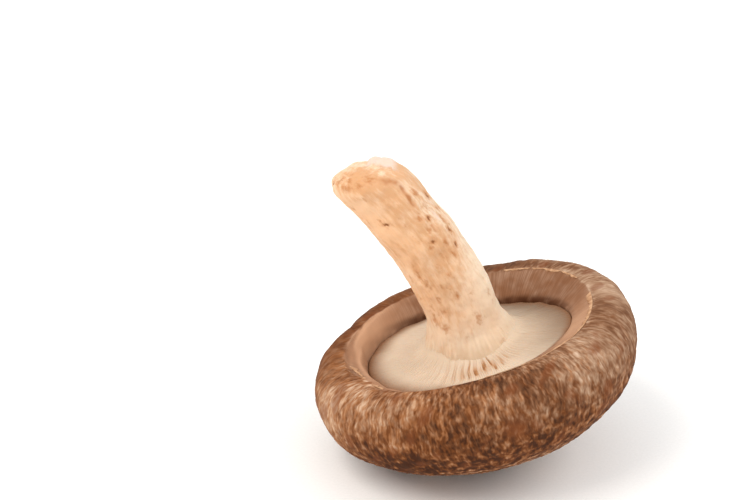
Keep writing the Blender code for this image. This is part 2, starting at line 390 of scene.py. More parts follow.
# %% Cap section
# rings: the mean, then shares of the cosine and sine of 1, 2 and 3 waves, in mm
RIM_RADIUS = (35.4, 0.6, -0.5, -0.5, 1.1, -0.4, -0.7)
RIM_HEIGHT = (-1.4, -0.65, -0.3)
LIP_RADIUS = (26.3, 0.5, -1.4, 0.4, 1.2, -0.2, -0.25)
LIP_HEIGHT = (5.5, -0.7, -0.2, 0.1, -0.3, 0.0, 0.4)
WALL_FOOT_RADIUS = (21.3, -0.5, -0.4, 1.3, -0.5)
WALL_FOOT_HEIGHT = (1.3, 0.6, -0.7, 0.3, -0.7)
CROWN_DEPTH = 21.0
CROWN_FULLNESS = (2.14, -0.16, -0.05)
CROWN_SKEW = 0.10
BOSS_HEIGHT, BOSS_CENTRE_X, BOSS_SPREAD = 3.2, 5.0, 13.0    # the bulge that the cap lies on
ROLL_SHARE = 0.22                    # how much of the margin's width is its outer curve
ROLL_RISE = 0.3
UNDER_GILLS = 1.8                    # the skin runs on under the gills, unseen
UNDER_STEM_RADIUS = 9.0
FLESH_FLOOR = -4.9

BAND_FALL = (1.15, 7.5)              # on the right it slopes, on the left it drops late
LEFT = math.radians(190)
LEFT_SPREAD = (0.7, 0.34)            # behind and in front of that direction, in radians
BAND_SAG = 0.75
BAND_WAVES = ((0.2, -0.25), (0.82, 0.35))      # share of the way in, mm up or down
BAND_WAVE_WIDTH = 0.14

CAP_COLUMNS = 640
FLANK_ROWS, ROLL_ROWS, LIP_ROWS, BAND_ROWS = 92, 28, 6, 20


def cap_section(phi):
    """Radius and height of the cap's skin in each direction phi, as two (column, row) grids."""
    phi = phi[:, None]
    rim, rim_height = ring(RIM_RADIUS, phi), ring(RIM_HEIGHT, phi)
    lip, lip_height = ring(LIP_RADIUS, phi), ring(LIP_HEIGHT, phi)
    foot, foot_height = ring(WALL_FOOT_RADIUS, phi), ring(WALL_FOOT_HEIGHT, phi)

    angle = math.pi / 2 * (1 - np.linspace(0.005, 1, FLANK_ROWS))[None]
    power = 2 / ring(CROWN_FULLNESS, phi)
    flank_radius = rim * np.cos(angle) ** power
    drop = (CROWN_DEPTH + rim_height) * np.sin(angle) ** power
    drop = drop * (1 + CROWN_SKEW * np.cos(phi) * flank_radius / RIM_RADIUS[0])
    square = (flank_radius * np.cos(phi) - BOSS_CENTRE_X) ** 2
    square = square + (flank_radius * np.sin(phi)) ** 2
    drop = drop + BOSS_HEIGHT * np.exp(-square / (2 * BOSS_SPREAD ** 2)) * np.sin(angle) ** 2
    flank_height = rim_height - drop

    top, top_height = lip + ROLL_SHARE * (rim - lip), lip_height + ROLL_RISE
    angle = math.pi / 2 * np.linspace(0, 1, ROLL_ROWS + 1)[None, 1:]
    roll_radius = top + (rim - top) * np.cos(angle)
    roll_height = rim_height + (top_height - rim_height) * np.sin(angle)
    angle = math.pi / 2 * np.linspace(0, 1, LIP_ROWS + 1)[None, 1:]
    lip_radius = top - (top - lip) * np.sin(angle)
    lip_rise = lip_height + ROLL_RISE * np.cos(angle)

    share = np.linspace(0, 1, BAND_ROWS + 1)[None, 1:]
    band_radius = lip + (foot - lip) * share
    on_left = bell(phi - LEFT, np.where(phi > LEFT, LEFT_SPREAD[1], LEFT_SPREAD[0]))
    fall = share ** (BAND_FALL[0] + BAND_FALL[1] * on_left)
    fall = fall + BAND_SAG * on_left * share * (1 - share ** 6)
    band_height = lip_height + (foot_height - lip_height) * fall
    for place, change in BAND_WAVES:
        band_height = band_height + change * on_left * bell(share - place, BAND_WAVE_WIDTH)

    level = foot * 0
    under_radius = [foot, foot, foot - 1.5, level + UNDER_STEM_RADIUS]
    under_height = [foot_height - UNDER_GILLS, level - 3.0] + 2 * [level + FLESH_FLOOR]
    radius = [flank_radius, roll_radius, lip_radius, band_radius, *under_radius]
    height = [flank_height, roll_height, lip_rise, band_height, *under_height]
    return np.concatenate(radius, axis=1), np.concatenate(height, axis=1)


phi = 2 * math.pi * np.arange(CAP_COLUMNS) / CAP_COLUMNS
cap_radius, cap_height = cap_section(phi)
step = np.hypot(np.diff(cap_radius, axis=1), np.diff(cap_height, axis=1))
run = np.concatenate([np.zeros((CAP_COLUMNS, 1)), np.cumsum(step, axis=1)], axis=1)
LIP_ROW = FLANK_ROWS + ROLL_ROWS + LIP_ROWS - 1
BAND_END_ROW = LIP_ROW + BAND_ROWS
mean_run = run.mean(axis=0)
print("from the crown's middle to the lip:", round(mean_run[LIP_ROW], 1), "mm")

# %% [markdown]
# The fibrous scales are thousands of small tufts that lie down the flank. Each starts level with
# the skin, rises a little towards the margin, and ends in a free tip. Hair curves would be
# lighter to handle, but they would stand off the skin, and the real tufts are part of it. So
# each tuft is stamped into the grid: its height lifts the skin, and its outline colours it.
# The tufts are 0.5 to 1 mm wide, a few real fibres each, as a single one would not show.

# %% Stamp the tufts into the skin
TUFT_COUNT, TEAR_COUNT = 7000, 1500
TUFT_RELIEF_MM, TEAR_RELIEF_MM = 0.12, 0.09
DRIFT_MM = 16.0             # tufts this near to each other lean the same way


def stamp(layer, phi_centre, run_centre, half_width, half_length, slant, bend, strength, tone):
    """Lays one tuft into a layer (height, tone), where nothing higher lies already."""
    rows = np.nonzero(np.abs(mean_run[:LIP_ROW + 1] - run_centre) < half_length)[0]
    if len(rows) < 2:
        return
    radius = max(cap_radius[0, rows[len(rows) // 2]], 2.0)
    reach = (3 * half_width + abs(slant) * half_length) / radius
    spread = int(reach / (2 * math.pi / CAP_COLUMNS)) + 1
    middle = int(round(phi_centre / (2 * math.pi) * CAP_COLUMNS))
    offsets = np.arange(-spread, spread + 1)
    window = np.ix_((middle + offsets) % CAP_COLUMNS, rows)
    along_tuft = (mean_run[rows] - run_centre)[None] / half_length
    sideways = (offsets[:, None] * 2 * math.pi / CAP_COLUMNS) * radius
    sideways = sideways - slant * along_tuft * half_length - bend * along_tuft ** 2
    across = bell(sideways, half_width * (1 - 0.35 * along_tuft))
    lengthwise = fade(-1.0, 0.2, along_tuft) * (1 - fade(0.6, 1.0, along_tuft))
    profile = strength * across * lengthwise
    wins = profile > layer[0][window]
    layer[0][window] = np.where(wins, profile, layer[0][window])
    layer[1][window] = np.where(wins, tone, layer[1][window])


def scatter(count, seed, widths, lengths, strengths):
    """A layer of tufts all over the cap, evenly by area, that lean together in drifts."""
    draw = np.random.default_rng(seed)
    layer = (np.zeros(cap_radius.shape), np.full(cap_radius.shape, 0.5))
    places = np.stack([
        draw.uniform(0, 2 * math.pi, count),
        mean_run[LIP_ROW] * np.sqrt(draw.uniform(0.01, 1.0, count)),
    ], axis=-1)
    spots = round_axis(places[:, 0], 35, places[:, 1])
    drifts = 0.28 * unevenness(spots, DRIFT_MM, seed + 50)
    for (phi_centre, run_centre), drift in zip(places, drifts):
        stamp(
            layer, phi_centre, run_centre,
            draw.uniform(*widths), draw.uniform(*lengths), drift + draw.normal(0, 0.2),
            draw.normal(0, 0.25), draw.uniform(*strengths),
            np.clip(draw.normal(0.62, 0.2), 0.15, 1),
        )
    return layer


fibre, fibre_tone = scatter(TUFT_COUNT, 5, (0.24, 0.5), (0.7, 2.0), (0.4, 1.0))
torn, _ = scatter(TEAR_COUNT, 6, (0.22, 0.5), (0.5, 1.7), (0.4, 1.0))
print("skin under tufts:", round(float((fibre > 0.3).mean()) * 100), "percent")

# %% [markdown]
# The skin has large patches. Most are painted light and shade: paler on the left and the right,
# where the lamps light it, darker in front under the rim and along the far rim, and a ring of
# painted shade on the lower flank. A few small ones are spots of the skin itself, and it is greyer
# on the right. They could be painted, but a list of soft spots with a place, a size and a
# strength is easy to read and to change.

# %% Patches of the cap's skin
# direction in degrees (-90 faces the camera), mm from the crown's middle, size, how much paler
TONE_AND_LIGHT_PATCHES = (
    (-87, 56, 5, -0.12), (-66, 53, 6, -0.18), (-95, 47, 8, -0.08), (-98, 41, 8, -0.12),
    (-64, 38, 10, -0.06), (-114, 40.6, 1.6, -0.4), (-120, 43.6, 1.6, 0.35), (-128, 42, 6, -0.14),
    (-150, 51, 11, 0.16), (-124, 50, 6, 0.07), (-46, 50, 7, 0.1), (-150, 42, 9, 0.07),
    (-12, 50, 8, -0.03), (70, 47, 6, -0.14), (100, 47, 7, -0.14), (-38, 51, 6, 0.06),
    (-80, 49, 5, -0.05), (-63, 45.5, 4, 0.05), (-10, 56, 6, -0.05),
    (-70, 47, 5, -0.1), (-120, 39, 8, -0.11), (-150, 46, 9, 0.05), (-115, 50, 6, 0.05),
    (-60, 36, 6, 0.07), (-90, 36, 7, 0.07), (-88, 48, 7, 0.03),
    (-127, 41, 4, 0.07), (-104, 41, 4, 0.07), (-118, 46, 4, -0.06), (-100, 52, 5, -0.03),
    (-66, 46, 4, 0.04), (10, 55, 6, 0.25), (73, 56, 5, -0.14), (160, 44, 12, -0.08),
    (120, 36, 8, -0.08), (172, 50, 9, -0.12), (148, 51, 9, -0.08),
)
# the same, but how much rougher
ROUGH_PATCHES = (
    (-15, 50, 14, -0.3), (-98, 40, 11, 0.3), (5, 57, 8, -0.4), (70, 52, 14, -0.5),
    (105, 52, 14, -0.4),
)
PALENESS, ROUGHNESS = 0.335, 0.93       # before any patch
SHADE_BELT_SHARE, SHADE_BELT_WIDTH = 0.62, 0.12     # a ring of painted shade, the darkest, as shares of the way to the lip


def patch(degrees, distance, size):
    turn = turned(phi_grid, degrees)
    return np.exp(-((turn * cap_radius) ** 2 + (mean_run[None] - distance) ** 2) / size ** 2)


phi_grid = np.repeat(phi[:, None], cap_radius.shape[1], axis=1)
smooth_points = round_axis(phi_grid, cap_radius, cap_height)
run_share = run / mean_run[LIP_ROW]
crown = 1 - fade(0.25, 0.5, run_share)
blotchy = 1 - fade(0.4, 0.95, run_share)
shade_belt = bell(run_share - SHADE_BELT_SHARE, SHADE_BELT_WIDTH)
on_roll = fade(0.65, 0.85, run_share)
rough = ROUGHNESS - 0.78 * np.maximum(patch(175, 52, 12), patch(148, 51, 12))
for degrees, distance, size, change in ROUGH_PATCHES:
    rough += change * patch(degrees, distance, size)
rough += 0.4 * (1 - on_roll)
pale = PALENESS + (0.13 + 0.08 * on_roll) * rough * fibre * fibre_tone
pale -= 0.08 * rough * torn * (1 - 0.7 * fibre)
pale += 0.05 * unevenness(smooth_points, 12.0, 21) + 0.045 * unevenness(smooth_points, 3.5, 22)
# painted shade in a ring on the lower flank; the crown is a little darker too
pale -= 0.145 * shade_belt + 0.03 * crown
pale += 0.12 * (1 - fade(0.6, 0.9, run_share)) * unevenness(smooth_points, 1.8, 25)
# most patches are painted light and shade, and a few small ones are the skin's own spots
for degrees, distance, size, change in TONE_AND_LIGHT_PATCHES:
    pale += change * patch(degrees, distance, size)
grey = np.clip(0.30 + 0.5 * np.cos(phi_grid - math.radians(10)), 0, 1)
grey = grey * (1 - shade_belt) + 0.4 * crown
grey += (
    0.25 * patch(-128, 53, 8) + 0.15 * patch(-155, 51, 9) + 0.25 * patch(8, 56, 6) - 0.15 * shade_belt
)
red = np.clip(0.9 * unevenness(smooth_points, 7.0, 23) - 0.7, 0, 0.5)
red = np.maximum(red * fade(0.55, 0.7, run_share), 0.75 * patch(-79, 43.9, 2.4))
print("pale:", [round(float(v), 2) for v in np.percentile(pale[:, 10:LIP_ROW], (5, 50, 95))])

# %% [markdown]
# The relief is added outwards from the smooth section: tufts up, tears down, and a little
# unevenness over both. A modifier could displace the mesh, but the grid is already at hand.

# %% Relief of the cap's skin
SKIN_WAVES = ((11.0, 0.14, 1), (3.0, 0.06, 2))       # wavelength, height and seed
HOLLOWS = ((152, 47, 10, 0.8), (85, 50, 12, 0.4))    # direction, distance, size, depth

row_number = np.arange(cap_radius.shape[1])[None]
on_skin = fade(LIP_ROW + 1, LIP_ROW - 4, row_number) * fade(2, 8, row_number)
on_band = fade(LIP_ROW, LIP_ROW + 4, row_number)
on_band = on_band * fade(BAND_END_ROW + 1, BAND_END_ROW - 3, row_number)
lift = (TUFT_RELIEF_MM * fibre - TEAR_RELIEF_MM * torn * (1 - fibre)) * np.minimum(rough, 1)
for degrees, distance, size, hollow in HOLLOWS:
    lift = lift - hollow * patch(degrees, distance, size)
lift = lift - 0.15
for wavelength, wave_height, seed in SKIN_WAVES:
    lift = lift + wave_height * unevenness(smooth_points, wavelength, seed)
lift = lift * on_skin + 0.12 * unevenness(smooth_points, 6.0, 3) * on_band
outward_radius = np.gradient(cap_height, axis=1)
outward_height = -np.gradient(cap_radius, axis=1)
length = np.hypot(outward_radius, outward_height)
radius = cap_radius + lift * outward_radius / length
height = cap_height + lift * outward_height / length
points = round_axis(phi_grid, radius, height)
print("relief:", round(float(lift.min()), 2), "to", round(float(lift.max()), 2), "mm")

# %% [markdown]
# The cuticle tears off unevenly at the lip, on the left further in, and leaves a paler edge.
# The inner band gets painted shade at its foot and a painted highlight along its ridge. What
# would reach below the surface that the mushroom lies on is pressed flat, as the soft crown is.

# %% Cap skin object
def near(degrees, spread):
    """1 in one direction round the cap, fading away on both sides of it."""
    return bell(turned(phi_grid, degrees), spread)


cap_degrees = np.degrees(phi_grid)
on_left = fade(0.2, 0.95, -np.cos(phi_grid - 0.15))
# painted shade at the foot of the inner band, where it meets the gills, and a little on the far
# right
deep = fade(BAND_END_ROW - 5.0, BAND_END_ROW - 1, row_number)
deep = deep * np.clip(0.9 + 0.3 * unevenness(smooth_points, 3.0, 26), 0, 1)
deep = deep * (1 - 0.8 * on_left) * (1 - 0.9 * near(-15, 0.65)) + 0.12 * near(22, 0.36)
# a painted highlight on the band's ridge on the left, and on the wall on the right
ridge_row = LIP_ROW + 14 * fade(155, 195, cap_degrees)
ridge = on_left * (0.45 + 0.5 * fade(ridge_row - 3, ridge_row + 3, row_number))
ridge = ridge * (1 - 0.3 * fade(150, 120, cap_degrees))
ridge = ridge * (1 - 0.15 * fade(170, 200, cap_degrees))
ridge = np.maximum(ridge, 0.6 * near(-22, 0.42))
torn_edge = (
    LIP_ROW + 1.2 * unevenness(smooth_points, 3.0, 24) + 2.5 * near(300, 0.5)
    + 8.0 * near(210, 0.3) + 3.0 * near(238, 0.2) - 2.0 * near(178, 0.2)
)
lip_tear = bell(row_number - torn_edge + 2.2, 1.6) * np.maximum(near(20, 1.0), near(208, 0.4))
# painted shade along the top of the far rim
pale -= 0.14 * near(78, 0.62) * bell(mean_run - 56.2, 1.2)
frayed = np.clip(0.5 + 0.5 * unevenness(smooth_points, 2.0, 27), 0, 1)
pale += (0.2 + 0.3 * near(210, 0.3)) * lip_tear * frayed
values = {
    "round_x": RIM_RADIUS[0] * MM * np.cos(phi_grid),
    "round_y": RIM_RADIUS[0] * MM * np.sin(phi_grid),
    "run": run * MM,
    "pale": pale, "grey": grey, "red": red, "blotchy": blotchy, "rough": rough,
    "deep": deep, "ridge": ridge, "band": fade(torn_edge - 2.5, torn_edge + 2, row_number),
}
cap_skin = grown("cap_skin", points, values, cuticle, "cap")
for vertex in cap_skin.data.vertices:
    vertex.co.z = max(vertex.co.z, 0.0)

# %% [markdown]
# ## Gills: moist cream flesh
#
# Gills are thin plates of flesh, 0.2 to 0.4 mm thick, that hang side by side. Flesh lets light
# in, so it has some subsurface scattering, which softens the shadows between the plates. The
# index of refraction is that of watery tissue, 1.38. Painted shade makes the gaps browner than
# the edges, and the ring darker near the wall and on the right, where the stem and the margin
# keep the light off.

# %% Gill material
gill_flesh, tree, shader = blank(
    "moist_gill_flesh", Roughness=0.65, IOR=1.38, Specular_IOR_Level=0.3,
    Subsurface_Weight=0.15, Subsurface_Radius=(1.0, 0.55, 0.3), Subsurface_Scale=0.0012)
blush = add(tree, "MapRange", SMOOTH, i0=grain(tree, 9.0, detail=2.0), i1=0.35, i2=0.65)
flesh = add(tree, "Mix", COLOURS, i0=blush, i6=linear("D0BCA6"), i7=linear("C7B39D"))
# all but the foot colour are painted shade: on the right, in the gaps between gills, and near the
# wall
for name, colour in (
    ("shaded", "725842"), ("gap", "AC7B52"), ("foot", "D6BFA4"), ("wall", "7E583C"),
):
    share = add(tree, "Attribute", {"attribute_name": name}, out="Fac")
    flesh = add(tree, "Mix", COLOURS, i0=share, i6=flesh, i7=linear(colour))
coat(tree, shader, flesh, grain(tree, 0.4), 0.05)
print("the gill flesh has", len(tree.nodes), "nodes")

# %% [markdown]
# Every fourth gill runs from the margin to the stem, and shorter ones fill in between, so that
# the edges stay evenly close. Over two hundred separate plates could be made, but only their
# edges show. One sheet with a narrow gap between each pair looks the same, and stays clean
# where the plates meet the stem. Real gills of this size lie 0.3 to 0.5 mm apart. These are
# drawn 0.6 mm apart, so that each covers a few pixels. They climb the stem as a soft collar,
# and in front some bundles part, with painted shade in the gaps between them.

# %% Gills
STEM_FOOT_RADIUS = 9.8
GILL_PLATEAU = 1.9
COLLAR_RISE, COLLAR_REACH = 1.3, 2.6
ROOT_RISE, ROOT_REACH = 0.7, 0.8        # close to the stem the gills climb it steeply
CLIMB_MOST = 3.2
GILL_COUNT = 236
GILL_ROWS = 44
GILL_STARTS = (0.0, 16.5, 12.6, 17.5)   # the radius where each of four gills in turn begins
ACROSS_A_GILL = ((-0.5, 1.0), (-0.32, 0.2), (0.0, 0.0), (0.32, 0.2))    # place, depth
PARTED_AT = math.radians(281)
WALL_SHADE_MM = (2.8, 2.8)              # how far in the painted shade by the wall reaches: all round, and more on the left

draw = np.random.default_rng(8)
gill_number = np.repeat(np.arange(GILL_COUNT), len(ACROSS_A_GILL))
place = np.tile([p for p, _ in ACROSS_A_GILL], GILL_COUNT)
gap_share = np.tile([d for _, d in ACROSS_A_GILL], GILL_COUNT)
phi = (gill_number + place) * 2 * math.pi / GILL_COUNT
start_radius = np.choose(gill_number % 4, GILL_STARTS)
start_radius = start_radius + draw.uniform(-0.8, 0.8, GILL_COUNT)[gill_number]
gill_rise = draw.uniform(-0.06, 0.04, GILL_COUNT)[gill_number]

outer = ring(WALL_FOOT_RADIUS, phi)[:, None] - 0.05
outer_height = ring(WALL_FOOT_HEIGHT, phi)[:, None] - 0.2
inner = STEM_FOOT_RADIUS - 1.6          # the collar runs into the stem
share = np.linspace(0, 1, GILL_ROWS)[None]
radius = outer + (inner - outer) * share
plateau = GILL_PLATEAU + (outer_height - GILL_PLATEAU) * fade(inner, outer, radius)
collar = COLLAR_RISE * np.exp((STEM_FOOT_RADIUS - radius) / COLLAR_REACH)
collar += ROOT_RISE * np.exp((STEM_FOOT_RADIUS - 0.5 - radius) / ROOT_REACH)
collar = np.minimum(collar, CLIMB_MOST)
rim_points = round_axis(phi, 14, 0 * phi)
folded = np.clip(0.55 + 0.35 * unevenness(rim_points, 9.0, 14), 0.15, 1)
bundles = 0.5 + 0.5 * np.sin(GILL_COUNT / 4.5 * phi + 1.5 * unevenness(rim_points, 6.0, 16))
parted = fade(0.7, 0.2, bundles) * draw.uniform(0.6, 1.0, GILL_COUNT)[gill_number]
# where gill bundles part in front: the gaps there sink a little and get painted shade
parted_gaps = (parted * bell(phi - PARTED_AT, 0.34))[:, None]
place_out = draw.uniform(12.2, 16.2, GILL_COUNT)[gill_number][:, None]
stretch = draw.uniform(0.9, 2.2, GILL_COUNT)[gill_number][:, None]
parted_gaps = parted_gaps * bell(radius - place_out, stretch)
parted_gaps += 0.36 * bell(phi - math.radians(277), 0.32)[:, None] * bell(radius - 15.2, 1.8)
parted_left = parted * bell(phi - math.radians(262), 0.55)
parted_gaps += 0.3 * parted_left[:, None] * bell(radius - 14.0, 3.0)
folded = 0.4 * folded[:, None] * np.exp((inner - radius) / 3.0)
depth = (0.12 + 0.4 * folded) * fade(inner + 1.0, inner + 3.5, radius)
short = 1 - fade(start_radius[:, None] - 1.2, start_radius[:, None] + 0.6, radius)
sunk = np.maximum(gap_share[:, None], short)
depth = depth + 0.3 * parted_gaps / np.maximum(sunk, 0.5)
sunk = np.maximum(sunk, 0.9 * parted_gaps)
height = plateau + collar - depth * sunk + gill_rise[:, None] * (1 - sunk)
height = height - 0.3 * fade(outer - 0.4, outer, radius)
level_points = round_axis(phi[:, None], radius, 0 * height)
phi_grid = phi[:, None] + 0.012 * unevenness(level_points, 6.0, 4)
points = round_axis(phi_grid, radius, height)
points[..., 2] += 0.12 * unevenness(points, 7.0, 5) * fade(inner, inner + 2, radius)
print("gills", round(2 * math.pi * WALL_FOOT_RADIUS[0] / GILL_COUNT, 2), "mm apart at the margin")

# %% [markdown]
# A floor inside the flesh closes the sheet of gills below. Four values on the mesh say where
# painted shade lies, in the gaps, on the right and near the wall, and how near to the stem's
# foot each point is.

# %% Gill object
below = points[:, [-1, 0]].copy()
below[..., 2] = FLESH_FLOOR + 2.3
points = np.concatenate([below[:, 1:], points, below[:, :1]], axis=1)
on_left = fade(0.0, 1.0, -np.cos(phi_grid - 0.3))
right_front = bell(turned(phi_grid, -47), 0.5)
wall_reach = (WALL_SHADE_MM[0] + WALL_SHADE_MM[1] * on_left) * (1 - 0.75 * right_front)
# painted shade on the right of the ring, where the margin keeps the light off
shaded = fade(0.0, 1.0, np.cos(phi_grid - 0.35)) * fade(inner - 1, outer - 1, radius)
values = {
    "gap": np.clip(sunk * (0.07 + 0.3 * folded) + parted_gaps, 0, 1),
    "wall": fade(outer - wall_reach, outer, radius) ** 1.2,
    "shaded": 0.87 * shaded ** 1.2,
    "foot": 0.6 * fade(12.5, 9.5, radius),
}
values = {name: np.pad(grid, ((0, 0), (1, 1)), mode="edge") for name, grid in values.items()}
gills = grown("gill_ring", points, values, gill_flesh, "gills")

# %% [markdown]
# ## Stem: fibrous, mottled flesh
#
# The stem is tough and stringy. Its surface is the colour of cream and apricot, with tan
# mottles where it was handled, and small dark pits. It is a little smoother than the cap, and
# lets some light in. The cut end is bare flesh and nearly white.

# %% Stem material
# widths, and the scale each way. Real strings are a third of this width, too fine to show
STRING_MM, MOTTLE_MM, STAIN_MM = 0.45, 1.1, 0.5
STRING_SHAPE, MOTTLE_SHAPE, STAIN_SHAPE = (1, 1, 0.16), (1, 1, 0.3), (1, 1, 0.7)

stem_flesh, tree, shader = blank(
    "fibrous_stem_flesh", Roughness=0.66, IOR=1.4, Specular_IOR_Level=0.3,
    Subsurface_Weight=0.12, Subsurface_Radius=(1.0, 0.5, 0.25), Subsurface_Scale=0.0015)
on_mesh = {
    name: add(tree, "Attribute", {"attribute_name": name}, out="Fac")
    for name in ("round_x", "round_y", "run", "warm", "tan", "stain", "scrape", "foot", "pit",
                 "cut")
}
along = add(tree, "CombineXYZ", X=on_mesh["round_x"], Y=on_mesh["round_y"], Z=on_mesh["run"])
string = grain(tree, STRING_MM, STRING_SHAPE, 4.0, along)
mottle = grain(tree, MOTTLE_MM, MOTTLE_SHAPE, 3.0, along)
speck = grain(tree, STAIN_MM, STAIN_SHAPE, 3.0, along)
marks = {}                  # a mark shows where its pattern and its value on the mesh add up
for name, pattern, times, start, full, most in (
    ("string", string, 1.0, 0.35, 0.7, 0.2),
    ("tan", mottle, 1.2, 0.5, 1.1, 0.75),
    ("stain", speck, 1.3, 0.7, 1.6, 0.8),
    ("pit", speck, 1.0, 0.7, 1.3, 0.9),
):
    level = add(tree, "Math", MULTIPLY_ADD, i0=pattern, i1=times, i2=on_mesh.get(name, 0.0))
    marks[name] = add(tree, "MapRange", SMOOTH, i0=level, i1=start, i2=full, i4=most)
flesh = linear("E3CDB3")
for share, colour in (
    (on_mesh["warm"], "E2B288"), (marks["string"], "DDC6AA"), (marks["tan"], "C68F5F"),
    # the foot colour, CAAE90, is painted shade
    (marks["stain"], "B0723F"), (on_mesh["scrape"], "A4622F"), (on_mesh["foot"], "CAAE90"),
    (marks["pit"], "82502C"), (on_mesh["cut"], "D8C2B2"),
):
    flesh = add(tree, "Mix", COLOURS, i0=share, i6=flesh, i7=linear(colour))
relief = add(tree, "Math", MULTIPLY_ADD, i0=mottle, i1=0.5, i2=string)
coat(tree, shader, flesh, relief, 0.05)
print("the stem flesh has", len(tree.nodes), "nodes")

# %% [markdown]
# The stem is a stack of level slices that wander to the left. Slices were chosen over a bent
# tube because the butt is cut level with the cap, not square to the stem, and slices give that
# cut by themselves.

# %% Stem slices
STEM_ROOT = -3.0
STEM_RADIUS = 8.0                   # its mean, to turn an angle into millimetres
STEM_SLICES = (                     # height, centre to the right, half-width, half-depth
    (2, 0.2, 9.8, 9.8),
    (5, 0.2, 8.8, 8.8),
    (10, 0, 8, 8.1),
    (16, -1, 8.2, 7.9),
    (23, -2.8, 7.9, 7.7),
    (30, -5, 8, 7.6),
    (36, -7.7, 8.3, 7.4),
    (40.5, -9.9, 8.1, 7.1),
    (43, -11.3, 7.4, 6.6),
    (44.9, -12.1, 5.8, 5.3),
)
BUTT_START, BUTT_TOP = 40.5, 46.1       # the rounded end of the stem
BUTT_SQUARENESS = 3.3                   # 2 would be round
BUTT_LEAN = 0.5
STEM_COLUMNS, STEM_ROWS, BUTT_ROWS = 320, 150, 44


def stem_slice(heights):
    """Centre and half-widths at each height, along a smooth curve through the slices."""
    table = np.array(STEM_SLICES)
    slopes = np.gradient(table[:, 1:], table[:, 0], axis=0)
    index = np.clip(np.searchsorted(table[:, 0], heights) - 1, 0, len(table) - 2)
    span = table[index + 1, 0] - table[index, 0]
    share = ((heights - table[index, 0]) / span)[:, None]
    span = span[:, None]
    return (
        (2 * share ** 3 - 3 * share ** 2 + 1) * table[index, 1:]
        + (share ** 3 - 2 * share ** 2 + share) * slopes[index] * span
        + (3 * share ** 2 - 2 * share ** 3) * table[index + 1, 1:]
        + (share ** 3 - share ** 2) * slopes[index + 1] * span
    ).T


side_heights = np.linspace(STEM_SLICES[0][0], BUTT_START, STEM_ROWS)
centre, half_x, half_y = stem_slice(side_heights)
angle = np.linspace(0, math.pi / 2, BUTT_ROWS + 1)[1:]
butt_heights = BUTT_START + (BUTT_TOP - BUTT_START) * np.sin(angle) ** (2 / BUTT_SQUARENESS)
shrink = np.maximum(np.cos(angle) ** (2 / BUTT_SQUARENESS), 0.02)
heights = np.concatenate([[STEM_ROOT], side_heights, butt_heights])
centre = np.concatenate([[0.0], centre, centre[-1] - BUTT_LEAN * (butt_heights - BUTT_START)])
half_x = np.concatenate([[STEM_FOOT_RADIUS], half_x, half_x[-1] * shrink])
half_y = np.concatenate([[STEM_FOOT_RADIUS], half_y, half_y[-1] * shrink])
psi = 2 * math.pi * np.arange(STEM_COLUMNS) / STEM_COLUMNS
psi_grid, height_grid = np.meshgrid(psi, heights, indexing="ij")
stem_points = np.stack([
    centre[None] + half_x[None] * np.cos(psi_grid), half_y[None] * np.sin(psi_grid), height_grid,
], axis=-1)
print("stem", round(2 * half_x[STEM_ROWS // 3], 1), "mm thick at a third of its length")

# %% [markdown]
# The marks on the stem are pits with dark floors, tan stains, a few white chips and broader
# brown areas. They could be painted by hand. Lists of places are used instead, as for the cap,
# and small random stains fill in between.

# %% Stem marks
# height and direction (in degrees, -90 faces the camera), then half its length and width in mm
PITS = (
    (35.1, -109, 0.35, 0.7), (36.9, -8, 0.7, 0.6), (33.7, -47, 0.35, 0.45), (29.5, -28, 0.5, 0.4),
    (26.1, -35, 0.45, 0.4), (29, -67, 0.45, 0.45), (45, -168, 0.3, 0.5),
    (43, -178, 0.4, 0.4), (42.5, 176, 0.8, 0.5), (27, 60, 0.5, 0.5),
    (34, 95, 0.5, 0.5), (20, 130, 0.5, 0.4), (38.5, 150, 0.5, 0.5), (15, 70, 0.5, 0.4),
)
TAN_MARKS = (
    (39.4, -33, 1, 0.7), (32.2, -26, 1.3, 0.45), (34, -13, 0.9, 0.45), (22.5, -119, 2, 0.8),
    (20, -113, 1.5, 0.6), (16.2, -109, 1.1, 0.5), (16, -79, 0.9, 0.6), (11.1, -134, 1.8, 0.6),
    (9.4, -118, 1.2, 0.8), (10, -65, 1.5, 0.8), (3.2, -48, 0.7, 0.6), (27.8, -50, 0.8, 0.5),
    (24.8, -48, 0.7, 0.5), (31.5, -60, 0.6, 0.5), (36.2, -113, 0.5, 0.5), (34.5, -60, 0.5, 0.5),
    (28, -75, 0.6, 0.5), (44.3, -125, 0.7, 1.8), (45.2, -145, 0.8, 1.3), (45.6, -120, 0.4, 1),
    (44.6, -100, 0.5, 1), (45.2, -75, 0.5, 1.6),
    (25, 20, 2, 0.8), (30, 120, 1.8, 0.9), (12, 40, 1.8, 0.8), (22, -175, 2, 0.8),
    (36, 60, 1.4, 0.8), (8, 150, 1.2, 0.8), (40, 100, 1.2, 0.7), (17, 5, 1.4, 0.6),
)
WHITE_CHIPS = ((35.8, -17, 0.7, 0.4), (33.4, -32, 1.3, 0.5), (38, -20, 0.6, 0.3))
# height, direction, half-length, half-width, and how much browner (or paler) it is there
TAN_AREAS = (
    (45, -110, 2.5, 6, 0.36), (39, -72, 6, 4, 0.35), (27, -75, 8, 3.5, 0.28),
    (18, -100, 7, 3.5, 0.16), (25, -108, 5, 3, 0.12), (26, -45, 8, 4, 0.12),
    (22, -62, 7, 3.5, 0.1), (9, -40, 6, 5, -0.4), (20, -35, 8, 3, -0.08),
    (36, -135, 5, 3, -0.2), (42, -18, 4, 4, 0.26), (38, -5, 6, 3, 0.2),
    (44.8, -78, 1.8, 5, 0.42), (44.3, -10, 1.8, 4, 0.3),
    (30, 90, 9, 6, 0.15), (12, 170, 7, 6, 0.12),
)
STRAY_STAINS = 120


